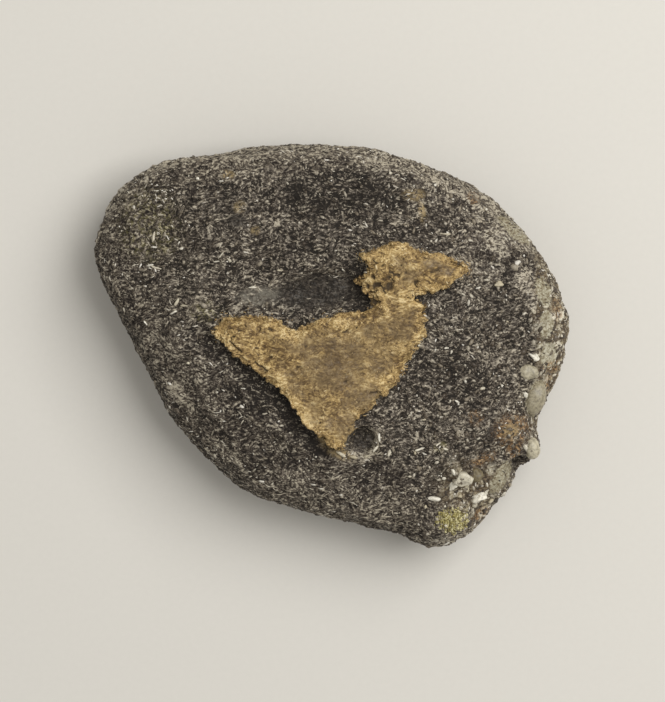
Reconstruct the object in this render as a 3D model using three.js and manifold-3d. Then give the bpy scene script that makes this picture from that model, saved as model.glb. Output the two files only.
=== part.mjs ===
// A piece of fossil turtle shell: one worn slab of dark spongy bone that lies on its flat side.
// A thin crust of tan sediment is cemented on its top. Sand, pebbles and crystals are set in its right edge.
// All of it has grown or cemented together, so it is one solid. Millimetres, +Z up.

import * as THREE from 'three';
import { ImprovedNoise } from 'three/addons/math/ImprovedNoise.js';
import { mergeVertices } from 'three/addons/utils/BufferGeometryUtils.js';
import Module from 'manifold-3d';

// Driving dimensions
const THICKNESS = 10.7; // from the resting face to the top of the dome, without the crust
const TOP_LEAN = 1.3; // how much lower the top is at its left end than at the middle
const WAIST_HEIGHT = 4.7; // where the slab is widest
const UNDERSIDE_DEPTH = 5.1; // more than WAIST_HEIGHT, so that the underside is cut flat at the resting face
const STEEP_EDGE = 3.2; // power of the section's curve where the side is steep
const BEVELLED_EDGE = 2.1; // and where it slopes
const BEVEL_TOWARDS = -0.35; // direction of the middle of that slope, in radians
const BEVEL_FOCUS = 1.5; // how soon the side grows steep away from there
const CRUST_RAISE = 0.8;
const CRUST_SLOPE = 0.16; // half the width of the crust's sloping edge
const CRUST_CLEARING = 0.5; // the mesh keeps its corners off that edge, out of what is nearer than this
const GROOVE_DEPTH = 0.5; // beside the crust's lower left edge
const GROOVE_WIDTH = 1.4;
const SWELL = 0.5; // how far broad swells lift or sink the surface
const SWELL_SPAN = 8; // and how far apart they are
const RIPPLE = 0.2; // the same for small lumps
const RIPPLE_SPAN = 2.4;
const LEDGE = 0.34; // the same for the worn layers round the side, which are long and thin
const LEDGE_SPAN = 6;
const LEDGE_PITCH = 0.9;
const GRAIN_BULGE = 0.16; // how uneven a grain is, as a share of its size
const GRAIN_BULGE_SPAN = 0.6;

// Mesh
const BODY_DETAIL = 18;
const PEBBLE_DETAIL = 2;
const SAND_DETAIL = 1;
const SECTION_STEPS = 400;
const OUTLINE_STEPS = 720;
const TOP_SHARE = 2.3; // how much finer the top is divided than the underside

// The slab seen from above, clockwise from its left end
const OUTLINE = [
  [-19.3, 8.3], [-18.1, 11.5], [-16.6, 13.1], [-14.5, 14.4], [-10.5, 15.5], [-6.4, 16.1], [-2.7, 16.2],
  [1.3, 16.0], [4.7, 15.5], [10.3, 13.6], [14.2, 10.9], [17.3, 6.6], [19.6, 2.0], [19.1, -0.5],
  [17.3, -5.2], [16.7, -6.7], [17.2, -8.2], [16.8, -9.7], [15.3, -10.4], [14.7, -11.1], [13.8, -13.0],
  [12.4, -15.0], [10.2, -16.5], [8.0, -16.9], [6.2, -16.1], [0.6, -14.8], [-5.6, -13.1], [-10.4, -9.6],
  [-14.0, -5.2], [-17.2, 1.3], [-19.4, 6.4],
];

// The crust's border seen from above, clockwise from its left tip: a heart, and an arm at its upper right
const CRUST = [
  [-9.9, 1.1], [-8.9, 2.4], [-5.4, 2.6], [-3.1, 1.4], [-0.9, 2.5], [3.5, 3.3], [1.6, 5.4], [2.8, 6.4],
  [2.0, 7.5], [5.0, 8.6], [8.7, 7.4], [11.2, 6.4], [8.7, 4.9], [6.3, 4.2], [7.4, 3.5], [7.3, 1.4],
  [4.9, -3.0], [1.8, -5.8], [0.8, -8.1], [-0.3, -8.0], [-3.0, -5.4], [-4.7, -3.0], [-7.6, -1.0],
];

// Swellings and pits: centre seen from above, half length and half width, turn in degrees, and height
const RELIEF = [
  { at: [-0.4, 4.8], size: [4.6, 1.9], turn: 6, raise: -0.85 }, // smooth hollow above the crust
  { at: [2.3, -7.5], size: [1.5, 1.4], turn: 0, raise: -1.4 }, // round pit below the crust
  { at: [3.9, -8.6], size: [1.2, 0.8], turn: 50, raise: 0.4 }, // its raised rim
  { at: [6.5, 11.6], size: [1.6, 1.1], turn: -60, raise: 0.3 },
  { at: [-9.5, 9.0], size: [6.0, 2.2], turn: 20, raise: 0.3 },
  { at: [-3.0, 11.4], size: [8.0, 1.3], turn: 2, raise: -0.3 },
  { at: [12.6, 1.5], size: [2.2, 4.5], turn: 8, raise: -0.4 },
  { at: [9.6, -6.0], size: [2.6, 2.0], turn: -30, raise: 0.3 },
  { at: [13.7, -11.2], size: [1.5, 2.4], turn: -28, raise: 0.7 }, // smooth lobe below the notch
  { at: [15.1, -10.1], size: [1.5, 0.9], turn: 15, raise: -1.0 }, // notch
  { at: [9.6, -14.4], size: [3.0, 2.2], turn: 20, raise: 0.5 },
  { at: [-4.0, -9.0], size: [5.0, 1.6], turn: -28, raise: -0.35 },
  { at: [-12.6, -0.5], size: [2.0, 3.4], turn: 30, raise: 0.3 },
  { at: [16.6, 5.2], size: [1.5, 2.1], turn: 15, raise: 0.4 },
  { at: [17.6, 1.6], size: [1.3, 1.8], turn: 0, raise: 0.4 },
  { at: [14.2, 8.2], size: [2.0, 1.2], turn: -45, raise: 0.3 },
  { at: [14.9, -6.2], size: [1.6, 1.9], turn: 0, raise: 0.4 },
  { at: [8.4, -11.4], size: [2.2, 1.4], turn: 35, raise: -0.35 },
];

// Pebbles set in the right edge: centre seen from above, half sizes, and turn in degrees
const PEBBLES = [
  { at: [16.2, -1.0], size: [0.55, 0.40, 0.40], turn: -20 },
  { at: [15.8, -2.3], size: [0.85, 0.65, 0.50], turn: 5 },
  { at: [16.4, -4.4], size: [0.85, 1.40, 0.80], turn: -18 },
  { at: [16.3, -8.6], size: [0.65, 0.95, 0.80], turn: 12 },
  { at: [10.3, -10.8], size: [0.60, 0.60, 0.50], turn: 10 },
  { at: [11.2, -10.6], size: [0.60, 0.55, 0.50], turn: 30 },
  { at: [11.9, -12.5], size: [0.55, 0.50, 0.50], turn: 20 },
];

// Crystals in one druse on the lower right tip: place from its centre, and half size
const DRUSE_AT = [9.7, -14.3];
const CRYSTALS = [
  { from: [0, 0], size: 0.62 },
  { from: [0.62, 0.42], size: 0.48 },
  { from: [-0.55, 0.38], size: 0.44 },
  { from: [0.42, -0.55], size: 0.42 },
  { from: [-0.48, -0.5], size: 0.46 },
  { from: [0.05, 0.82], size: 0.38 },
];

// Sand grains on the right side wall: directions and rises in radians, and half sizes
const SAND_COUNT = 14;
const SAND_ANGLES = [-0.9, 0.45];
const SAND_RISES = [-0.55, 0.85];
const SAND_SIZES = [0.38, 0.62];
const SAND_SHAPES = [0.8, 1.2]; // width as a share of length
const SAND_BEDDING = 0.98; // how far out each grain lies, as a share of the slab's own reach
const SEED = 7;

const noise = new ImprovedNoise();
const wasm = await Module();
wasm.setup();

// A seeded random value between two limits
function between([low, high]) {
  return THREE.MathUtils.lerp(low, high, THREE.MathUtils.seededRandom());
}

// How far the outline is from the middle in each direction, from evenly spaced steps along its smooth curve
function outlineReach() {
  const corners = OUTLINE.map(([x, y]) => new THREE.Vector3(x, y, 0));
  const curve = new THREE.CatmullRomCurve3(corners, true, 'centripetal');
  const steps = curve.getSpacedPoints(OUTLINE_STEPS).slice(1);
  const polar = steps.map((p) => [Math.atan2(p.y, p.x), Math.hypot(p.x, p.y)]);
  polar.sort((a, b) => a[0] - b[0]);
  const first = polar[0];
  const last = polar[polar.length - 1];
  polar.unshift([last[0] - 2 * Math.PI, last[1]]);
  polar.push([first[0] + 2 * Math.PI, first[1]]);
  return (angle) => {
    const after = polar.findIndex((entry) => entry[0] >= angle);
    const [a0, r0] = polar[Math.max(after - 1, 0)];
    const [a1, r1] = polar[after];
    const share = a1 > a0 ? (angle - a0) / (a1 - a0) : 0;
    return THREE.MathUtils.lerp(r0, r1, share);
  };
}

const reach = outlineReach();

// The section's power: a slope on the right, and steep elsewhere
function edgePower(angle) {
  const slope = Math.pow(Math.max(0, Math.cos(angle - BEVEL_TOWARDS)), BEVEL_FOCUS);
  return THREE.MathUtils.lerp(STEEP_EDGE, BEVELLED_EDGE, slope);
}

// A point of the smooth slab, from its direction and its rise: a quarter turn at the top and minus that below
function slabPoint(angle, rise) {
  const power = edgePower(angle);
  const across = Math.pow(Math.cos(rise), 2 / power) * reach(angle);
  const lift = Math.pow(Math.abs(Math.sin(rise)), 2 / power);
  const [x, y] = [across * Math.cos(angle), across * Math.sin(angle)];
  const top = THICKNESS + TOP_LEAN * Math.min(0, x / reach(Math.PI));
  const above = rise > 0 ? top - WAIST_HEIGHT : -UNDERSIDE_DEPTH;
  return new THREE.Vector3(x, y, WAIST_HEIGHT + above * lift);
}

// The point of the slab's top above a place in plan
function topPoint(x, y) {
  const angle = Math.atan2(y, x);
  const share = Math.min(Math.hypot(x, y) / reach(angle), 1);
  const rise = Math.acos(Math.pow(share, edgePower(angle) / 2));
  return slabPoint(angle, rise);
}

// Rises that divide the slab's surface into bands of equal area, finer on the top
function evenRises() {
  const rises = [];
  const sums = [0];
  for (let i = 0; i <= SECTION_STEPS; i++) {
    rises.push(Math.PI * (0.5 - i / SECTION_STEPS));
  }
  for (let i = 1; i <= SECTION_STEPS; i++) {
    const a = slabPoint(Math.PI / 2, rises[i - 1]);
    const b = slabPoint(Math.PI / 2, rises[i]);
    const weight = rises[i] > 0 ? TOP_SHARE : 1;
    sums.push(sums[i - 1] + weight * a.distanceTo(b) * (a.y + b.y));
  }
  const total = sums[SECTION_STEPS];
  return (share) => {
    const wanted = share * total;
    const after = Math.max(1, sums.findIndex((sum) => sum >= wanted));
    const part = (wanted - sums[after - 1]) / (sums[after] - sums[after - 1]);
    return THREE.MathUtils.lerp(rises[after - 1], rises[after], part);
  };
}

// Distance from a place in plan to the crust's border, positive inside, and the border's outward direction
function crustBorder(x, y) {
  let nearest = Infinity;
  let inside = false;
  let outward = [0, 0];
  CRUST.forEach(([x1, y1], i) => {
    const [x0, y0] = CRUST[(i + CRUST.length - 1) % CRUST.length];
    const [dx, dy] = [x1 - x0, y1 - y0];
    const along = THREE.MathUtils.clamp(((x - x0) * dx + (y - y0) * dy) / (dx * dx + dy * dy), 0, 1);
    const distance = Math.hypot(x - x0 - along * dx, y - y0 - along * dy);
    if (distance < nearest) {
      nearest = distance;
      outward = [-dy / Math.hypot(dx, dy), dx / Math.hypot(dx, dy)];
    }
    if ((y0 > y) !== (y1 > y) && x < x0 + ((y - y0) / dy) * dx) inside = !inside;
  });
  return { distance: inside ? nearest : -nearest, outward };
}

function crustRaise(x, y) {
  const { distance, outward } = crustBorder(x, y);
  const step = THREE.MathUtils.smoothstep(distance, -CRUST_SLOPE, CRUST_SLOPE);
  const lowerLeft = Math.max(0, (-outward[0] - outward[1]) / Math.SQRT2);
  const beside = distance < 0 ? Math.max(0, 1 + distance / GROOVE_WIDTH) : 1 - step;
  return CRUST_RAISE * step - GROOVE_DEPTH * lowerLeft * beside;
}

// A round-topped swelling or pit, which fades out at its half sizes
function swelling({ at, size, turn, raise }, x, y) {
  const angle = THREE.MathUtils.degToRad(turn);
  const [dx, dy] = [x - at[0], y - at[1]];
  const along = (dx * Math.cos(angle) + dy * Math.sin(angle)) / size[0];
  const aside = (dy * Math.cos(angle) - dx * Math.sin(angle)) / size[1];
  const fade = Math.max(0, 1 - along * along - aside * aside);
  return raise * fade * fade * (3 - 2 * fade);
}

// Smooth noise that varies over one span in plan and another in height
function unevenness(point, span, heightSpan) {
  return noise.noise(point.x / span, point.y / span, point.z / heightSpan);
}

function swells(point, rise) {
  const broad = unevenness(point, SWELL_SPAN, SWELL_SPAN);
  const small = unevenness(point, RIPPLE_SPAN, RIPPLE_SPAN);
  const layers = unevenness(point, LEDGE_SPAN, LEDGE_PITCH);
  return SWELL * broad + RIPPLE * small + LEDGE * layers * Math.cos(rise) * Math.cos(rise);
}

function relief(point, rise) {
  if (rise < 0) return swells(point, rise);
  const lumps = RELIEF.reduce((sum, lump) => sum + swelling(lump, point.x, point.y), 0);
  return swells(point, rise) + lumps + crustRaise(point.x, point.y);
}

// Moves a corner of the mesh off the crust's sloping edge, to the foot or the head of it
function clearCrustEdge(point) {
  const { distance, outward } = crustBorder(point.x, point.y);
  if (Math.abs(distance) > CRUST_CLEARING) return;
  const share = Math.abs(distance) / CRUST_CLEARING;
  const wanted = Math.sign(distance) * THREE.MathUtils.lerp(CRUST_SLOPE, CRUST_CLEARING, share);
  point.x += (distance - wanted) * outward[0];
  point.y += (distance - wanted) * outward[1];
}

function bareSphere(detail) {
  const sphere = new THREE.IcosahedronGeometry(1, detail);
  sphere.deleteAttribute('normal');
  sphere.deleteAttribute('uv');
  return mergeVertices(sphere);
}

// The slab with its crust: a sphere laid over the slab, then lifted or sunk along its own normals
function slab() {
  const geometry = bareSphere(BODY_DETAIL);
  const place = geometry.attributes.position;
  const riseAt = evenRises();
  const rises = [];
  for (let i = 0; i < place.count; i++) {
    const rise = riseAt((1 - place.getZ(i)) / 2);
    const point = slabPoint(Math.atan2(place.getY(i), place.getX(i)), rise);
    if (rise > 0) clearCrustEdge(point);
    place.setXYZ(i, point.x, point.y, point.z);
    rises.push(rise);
  }
  geometry.computeVertexNormals();
  const normals = geometry.attributes.normal;
  for (let i = 0; i < place.count; i++) {
    const point = new THREE.Vector3().fromBufferAttribute(place, i);
    const normal = new THREE.Vector3().fromBufferAttribute(normals, i);
    point.addScaledVector(normal, relief(point, rises[i]));
    place.setXYZ(i, point.x, point.y, Math.max(0, point.z));
  }
  geometry.deleteAttribute('normal');
  return geometry;
}

// A rounded grain with uneven sides
function grain(center, size, turn, detail) {
  const geometry = bareSphere(detail);
  const place = geometry.attributes.position;
  for (let i = 0; i < place.count; i++) {
    const point = new THREE.Vector3().fromBufferAttribute(place, i);
    const own = point.clone().addScaledVector(center, GRAIN_BULGE_SPAN);
    point.multiplyScalar(1 + GRAIN_BULGE * unevenness(own, GRAIN_BULGE_SPAN, GRAIN_BULGE_SPAN));
    place.setXYZ(i, point.x, point.y, point.z);
  }
  geometry.scale(size[0], size[1], size[2]);
  geometry.rotateZ(THREE.MathUtils.degToRad(turn));
  geometry.translate(center.x, center.y, center.z);
  return geometry;
}

function pebbles() {
  return PEBBLES.map(({ at, size, turn }) => {
    const center = topPoint(at[0], at[1]);
    return grain(center, size, turn, PEBBLE_DETAIL);
  });
}

function sand() {
  return Array.from({ length: SAND_COUNT }, () => {
    const center = slabPoint(between(SAND_ANGLES), between(SAND_RISES));
    const size = between(SAND_SIZES);
    center.x *= SAND_BEDDING;
    center.y *= SAND_BEDDING;
    return grain(center, [size, size * between(SAND_SHAPES), size], 0, SAND_DETAIL);
  });
}

// Eight-sided crystals, each turned its own way
function druse() {
  return CRYSTALS.map(({ from, size }) => {
    const center = topPoint(DRUSE_AT[0] + from[0], DRUSE_AT[1] + from[1]);
    const crystal = new THREE.OctahedronGeometry(size);
    crystal.deleteAttribute('normal');
    crystal.deleteAttribute('uv');
    crystal.rotateX(between([0, Math.PI]));
    crystal.rotateY(between([0, Math.PI]));
    crystal.translate(center.x, center.y, center.z + size / 2);
    return mergeVertices(crystal);
  });
}

function toSolid(geometry) {
  const vertProperties = new Float32Array(geometry.attributes.position.array);
  const triVerts = new Uint32Array(geometry.index.array);
  return new wasm.Manifold(new wasm.Mesh({ numProp: 3, vertProperties, triVerts }));
}

function toGeometry(solid) {
  const { vertProperties, triVerts } = solid.getMesh();
  const geometry = new THREE.BufferGeometry();
  geometry.setAttribute('position', new THREE.BufferAttribute(vertProperties, 3));
  geometry.setIndex(new THREE.BufferAttribute(triVerts, 1));
  return geometry;
}

// Stands the piece on its resting face, with the origin below the middle of its box
function grounded(geometry) {
  geometry.computeBoundingBox();
  const { min, max } = geometry.boundingBox;
  geometry.translate(-(min.x + max.x) / 2, -(min.y + max.y) / 2, -min.z);
  return geometry;
}

function fossil() {
  THREE.MathUtils.seededRandom(SEED);
  const grains = [...pebbles(), ...druse(), ...sand()];
  const solid = grains.reduce((whole, piece) => whole.add(toSolid(piece)), toSolid(slab()));
  const geometry = grounded(toGeometry(solid));
  geometry.computeVertexNormals();
  const material = new THREE.MeshStandardMaterial({ color: 0x4d453d, roughness: 0.85, flatShading: true });
  const mesh = new THREE.Mesh(geometry, material);
  mesh.name = 'turtle_bone';
  return mesh;
}

const part = new THREE.Group();
part.add(fossil());

export default part;
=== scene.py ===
import math

import bmesh
import bpy
import numpy as np
from bpy.props import FloatProperty, FloatVectorProperty, IntProperty, PointerProperty
from mathutils import Matrix, Vector, noise


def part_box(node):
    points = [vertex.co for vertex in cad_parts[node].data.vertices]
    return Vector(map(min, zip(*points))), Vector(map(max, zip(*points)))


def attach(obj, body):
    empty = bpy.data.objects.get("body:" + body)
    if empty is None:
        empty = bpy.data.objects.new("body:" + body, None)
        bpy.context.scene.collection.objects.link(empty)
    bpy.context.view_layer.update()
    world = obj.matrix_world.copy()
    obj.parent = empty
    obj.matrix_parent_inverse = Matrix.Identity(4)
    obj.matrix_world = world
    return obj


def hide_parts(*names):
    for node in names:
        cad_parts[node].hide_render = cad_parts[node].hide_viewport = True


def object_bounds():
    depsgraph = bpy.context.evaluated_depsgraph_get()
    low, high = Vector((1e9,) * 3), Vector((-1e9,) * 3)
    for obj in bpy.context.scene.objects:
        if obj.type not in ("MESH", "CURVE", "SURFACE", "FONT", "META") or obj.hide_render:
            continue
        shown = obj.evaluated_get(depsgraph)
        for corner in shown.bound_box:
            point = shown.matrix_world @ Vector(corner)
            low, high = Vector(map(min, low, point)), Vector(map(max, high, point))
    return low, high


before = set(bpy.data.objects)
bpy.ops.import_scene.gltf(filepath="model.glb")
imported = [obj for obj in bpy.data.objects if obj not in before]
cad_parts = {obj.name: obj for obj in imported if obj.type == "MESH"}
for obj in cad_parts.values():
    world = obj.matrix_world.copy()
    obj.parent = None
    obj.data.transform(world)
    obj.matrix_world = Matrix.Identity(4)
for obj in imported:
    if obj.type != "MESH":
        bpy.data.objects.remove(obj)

bl_info = {
    "name": "Fossil turtle bone",
    "version": (1, 0, 0),
    "blender": (4, 5, 0),
    "location": "3D View > Sidebar > Fossil",
    "description": "A worn slab of fossil turtle shell with a sediment crust, sand, pebbles and crystals",
    "category": "Add Mesh",
}

MM = 0.001
NODE = "turtle_bone"
SEED = 11

cad_low, cad_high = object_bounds()
bone_low, bone_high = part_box(NODE)
middle = (bone_low + bone_high) / 2
length = bone_high.x - bone_low.x

# Places are in millimetres, seen from above, with +X towards the gritty end. SHIFT takes them onto the slab,
# whose origin is below the middle of its box.
SHIFT = (0.09, 0.42)

# Strands of bone and clay lie mostly along the slab's length
LEAN = (1, 0.42, 0.42)

# The crust's border, clockwise from its left tip: a heart, and an arm at its upper right
CRUST = [
    (-9.9, 1.1), (-8.9, 2.4), (-5.4, 2.6), (-3.1, 1.4), (-0.9, 2.5), (3.5, 3.3), (1.6, 5.4), (2.8, 6.4),
    (2, 7.5), (5, 8.6), (8.7, 7.4), (11.2, 6.4), (8.7, 4.9), (6.3, 4.2), (7.4, 3.5), (7.3, 1.4),
    (4.9, -3), (1.8, -5.8), (0.8, -8.1), (-0.3, -8), (-3, -5.4), (-4.7, -3), (-7.6, -1),
]
CRUST_RAISE = 0.8

# Spots of another finish, and spots of painted shade and painted light: x and y of the centre, half length,
# half width, and turn in degrees
SPOTS = {
    "hollow": [(-1.3, 4.6, 3.9, 1.4, 5), (2.3, -7.5, 1.05, 1, 0), (13, -6.9, 0.6, 0.6, 0),
        (-7.8, 10.3, 0.8, 0.6, -20)],
    "shade": [(0.4, 12.6, 5.6, 2.4, 0), (10.6, -3, 2.6, 2.6, 0), (-7, -4.2, 2.2, 1.2, -45)],
    "smear": [(-6.1, 4.2, 1.8, 0.75, 6)],
    # Paler spots: painted light on the lower left flank and along the bottom, which face away from the light,
    # and paler places on the right
    "fade_and_painted_light": [(-12.8, -1.2, 2.4, 5, 28), (0.5, -12.4, 8, 1.9, -14), (18.4, -0.5, 1.3, 5.5, 0),
        (12, 6, 2.6, 1.4, -10)],
    "green": [(17.2, 4.4, 0.7, 1.3, 20), (17.4, 1.7, 0.6, 1.35, 0), (17.7, -0.9, 0.8, 1.1, 0),
        (16.8, -4.4, 0.95, 1.7, -18), (14.8, 9.4, 0.5, 1.9, 48), (13.8, -11, 0.8, 1.7, -28)],
    "rust": [(14.6, -7, 1.7, 1.5, 10), (18.4, 2.9, 0.5, 0.9, 5), (11.4, 12.1, 0.6, 0.5, -30),
        (17.9, -1.9, 0.9, 0.5, 0), (17.5, -3.9, 0.45, 1.3, -15), (11.6, -5.8, 0.6, 0.7, 0),
        (14.8, -8.6, 0.7, 0.9, 0), (12.3, -9.3, 1.2, 0.5, 20), (12.3, -14.2, 1, 0.6, 35)],
    "tan": [(7.2, 11, 0.35, 0.95, 8), (6.5, 12.4, 1, 0.5, 0), (14.5, -7, 0.75, 0.7, 0),
        (0.4, -8.5, 1.5, 0.5, -25), (-0.8, -7.5, 0.4, 0.8, 35), (-7.6, 11.4, 0.5, 0.45, 0),
        (-6.3, 9.5, 0.4, 0.35, 0), (-8.6, 14, 0.6, 0.4, 0)],
    "lemon": [(9.6, -14.2, 0.9, 0.75, 0), (10.2, -14.6, 0.7, 0.5, 30)],
    "dusty": [(-15, 9.8, 2.6, 3.2, 0), (-10.5, 3, 1.2, 0.9, 0), (8.8, -8.1, 0.7, 0.5, 0)],
    # Wear spots; the first two, on the lower left flank that faces away from the light, are painted light
    "worn": [(-12.6, -4.2, 1.9, 0.6, -56), (-9, -8.6, 2.2, 0.5, -42), (13.8, 10.2, 4, 1.2, -42),
        (8.5, 13.7, 3.2, 0.9, -22), (10.6, -15.6, 3.6, 0.8, 28), (13.8, -13, 2.6, 0.6, 55),
        (15.8, 4.8, 0.9, 2.2, 15), (13.2, 8.6, 1.6, 1, -45)],
    "clay": [(0.2, -1.4, 3, 3, 0), (1, -6.2, 1.2, 1.5, 0), (5.3, 1.7, 1.3, 1.4, 0),
        (2, -3.2, 2.3, 1.6, -45), (8.4, 6.6, 1.6, 0.7, -20)],
    "broken": [(3.2, 5.6, 2.1, 1.9, 30)],
    "frayed": [(6, 6.3, 3.2, 1.8, -10), (-8.3, 1.3, 1.3, 0.8, 0), (0.6, -7.2, 1, 1, 0)],
    # Thin dark lines: cracks, and at 7.3, 4.2 a painted shadow under the lower edge of the crust's arm
    "cracks_and_shadow_line": [(2.9, 3.8, 0.8, 0.22, 0), (7.3, 4.2, 0.9, 0.16, 5), (3.3, -3.5, 0.7, 0.12, -10),
        (5.5, 3.5, 0.8, 0.09, 0), (0.9, -2.6, 0.3, 0.12, 20), (-7.9, 0.1, 1, 0.08, -42),
        (-5.8, -1.5, 1.1, 0.07, -36)],
}
# The ones that the bone's material reads
SPOT_VALUES = ("hollow", "smear", "shade", "fade_and_painted_light", "green", "rust", "tan", "lemon", "dusty")

# More spots of the same kind: where the strands are palest, the gritty tail, and the yellow crystals
BRIGHT = [
    (-15.4, 6.5, 1.7, 0.5, -5), (-12.7, 3.3, 1, 0.6, -10), (-14.7, 8.5, 0.6, 1, 0),
    (-14.4, 12.3, 1.5, 0.9, 0), (-8.6, 7.1, 0.9, 0.4, -30), (-4.4, 6.2, 0.5, 0.2, 20),
    (3.7, -7.6, 0.4, 0.9, -10), (2.4, -9, 1, 0.35, -10), (7, -8.5, 0.6, 0.3, 0),
    (8.8, -8.1, 0.7, 0.45, 0), (-11.9, -1.3, 0.5, 0.5, 0),
]
TAIL = [(12.2, -12.6, 4.2, 2.9, -35)]
DRUSE = [(9.7, -14.3, 1.3, 1.1, 0)]

# Along X, the gritty right end begins at the first of these, and is full from the second on
GRITTY_FROM, GRITTY_FULL = 16.1, 17

# The round pit at the crust's lower tip: its middle, and the radius of its rim
PIT_AT = (2.3, -7.5)
PIT_RADIUS = 1.25

# Larger pieces set in the slab: x and y of the centre, half length, half width, half height, and turn in
# degrees. Pebbles have a tint too, from 0, dark, to 1.
MILKY = [
    (16.2, -0.85, 0.66, 0.42, 0.45, -15, 1), (10.55, -10.75, 0.92, 0.86, 0.52, 10, 0.5),
    (9.85, -11.35, 0.62, 0.32, 0.4, 50, 0.85), (9.8, -10.2, 0.55, 0.3, 0.4, -60, 0.9),
    (10.9, -11.5, 0.3, 0.5, 0.3, 5, 0.2), (11.9, -12.5, 0.74, 0.62, 0.5, 20, 0.9),
    (12.5, -12.1, 0.42, 0.26, 0.34, 60, 0.7), (11.5, -13.1, 0.34, 0.34, 0.34, -20, 0.4),
    (15.75, -8.3, 0.3, 0.62, 0.52, 8, 0.6),
]
GLASSY = [
    (15.8, -2.2, 0.92, 0.66, 0.46, 0, 0.6), (16.45, -4.4, 0.92, 1.45, 0.8, -18, 0.4),
    (16.3, -8.6, 0.64, 0.92, 0.76, 12, 0.8), (11.6, -10.6, 0.6, 0.58, 0.42, 30, 0),
]
CHIPS = [
    (8.1, -12.5, 0.68, 0.22, 0.18, -5), (12.9, -12.9, 0.26, 0.18, 0.18, 35),
    (10.3, -12.3, 0.24, 0.16, 0.16, -20), (15.7, -4, 0.24, 0.34, 0.22, 20), (13.4, 5.1, 0.42, 0.26, 0.2, 0),
    (11.7, 4.8, 0.34, 0.09, 0.1, 12), (16.3, 2.8, 0.26, 0.2, 0.2, -30), (13.7, -3.2, 0.18, 0.14, 0.14, 0),
    (14.1, 2, 0.16, 0.12, 0.12, 0), (10, -4.4, 0.26, 0.1, 0.12, -15), (12.1, -3.4, 0.24, 0.12, 0.12, 10),
    (8.2, -7.2, 0.14, 0.12, 0.12, 0), (7.3, -5.9, 0.2, 0.09, 0.1, 5), (7, -8.3, 0.45, 0.11, 0.12, 14),
    (6.6, -8.6, 0.11, 0.2, 0.12, 0), (7.4, -8.7, 0.3, 0.1, 0.12, -20), (8.5, -7.9, 0.3, 0.1, 0.1, 30),
    (9.1, -8.3, 0.28, 0.1, 0.1, -30), (9, -10.8, 0.2, 0.16, 0.14, 0), (6.2, -10.5, 0.18, 0.14, 0.14, 0),
    (7.5, -13.1, 0.16, 0.18, 0.14, 0), (3.7, -7.3, 0.1, 0.42, 0.12, 6), (3.4, -8.2, 0.1, 0.36, 0.12, -38),
    (2.7, -8.8, 0.4, 0.1, 0.12, 18), (1.7, -8.9, 0.42, 0.12, 0.14, -12), (0.6, -8.6, 0.5, 0.14, 0.16, -34),
    (4.5, -8.5, 0.14, 0.3, 0.14, -20), (-6.2, 11.9, 0.12, 0.1, 0.1, 0), (4.6, 14.1, 0.14, 0.12, 0.12, 0),
    (8.2, 13.1, 0.18, 0.12, 0.12, -30), (12.4, 11.1, 0.18, 0.14, 0.12, 40),
]

# The brightest single strands of bone, which lie along the surface
STRANDS = [
    (-11, 13.6, 0.15, 0.12, 0.15, 0), (-14.6, 8.9, 0.46, 0.11, 0.15, 80),
    (-14.3, 6.4, 0.52, 0.11, 0.15, -14), (-14.9, 6.6, 0.32, 0.09, 0.13, 8), (-9.1, 7.5, 0.44, 0.1, 0.15, 45),
    (-8.4, 7.1, 0.4, 0.11, 0.16, -38), (-9.4, 7, 0.38, 0.08, 0.13, 12), (-12.3, 8, 0.2, 0.1, 0.14, 20),
    (-4.3, 6.3, 0.3, 0.11, 0.15, 5), (-12.7, 3.7, 0.34, 0.1, 0.15, 60), (-12.1, 3.4, 0.44, 0.1, 0.15, 8),
    (-13, 2.8, 0.38, 0.1, 0.15, 25), (-15.3, 1.9, 0.3, 0.07, 0.1, -50), (-11.8, -1.3, 0.17, 0.15, 0.16, 0),
    (9, 9.2, 0.52, 0.08, 0.13, 0), (9.6, 9.3, 0.13, 0.12, 0.14, 0), (9.1, 0, 0.2, 0.11, 0.14, 0),
    (10.2, 1.5, 0.42, 0.1, 0.13, 0), (6.9, 0.3, 0.18, 0.14, 0.16, 0), (-6.6, 4.9, 0.42, 0.08, 0.13, 4),
]

# The stage: the floor's half width in slab lengths, the camera's aim as a share of the slab's height, and
# the key light's place from that aim and its width in metres
FLOOR_LENGTHS = 20
AIM_HEIGHT = 0.7
KEY_PLACE = (0.16, 0.11, 0.28)
KEY_WIDTH = 0.26
SKY_COLOUR = (1, 0.985, 0.955, 1)


def srgb(*chart):
    """A colour as the shader needs it, from the three 0 to 255 values of a colour chart."""
    values = [v / 255 for v in chart]
    return tuple(v / 12.92 if v <= 0.04045 else ((v + 0.055) / 1.055) ** 2.4 for v in values)


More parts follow.
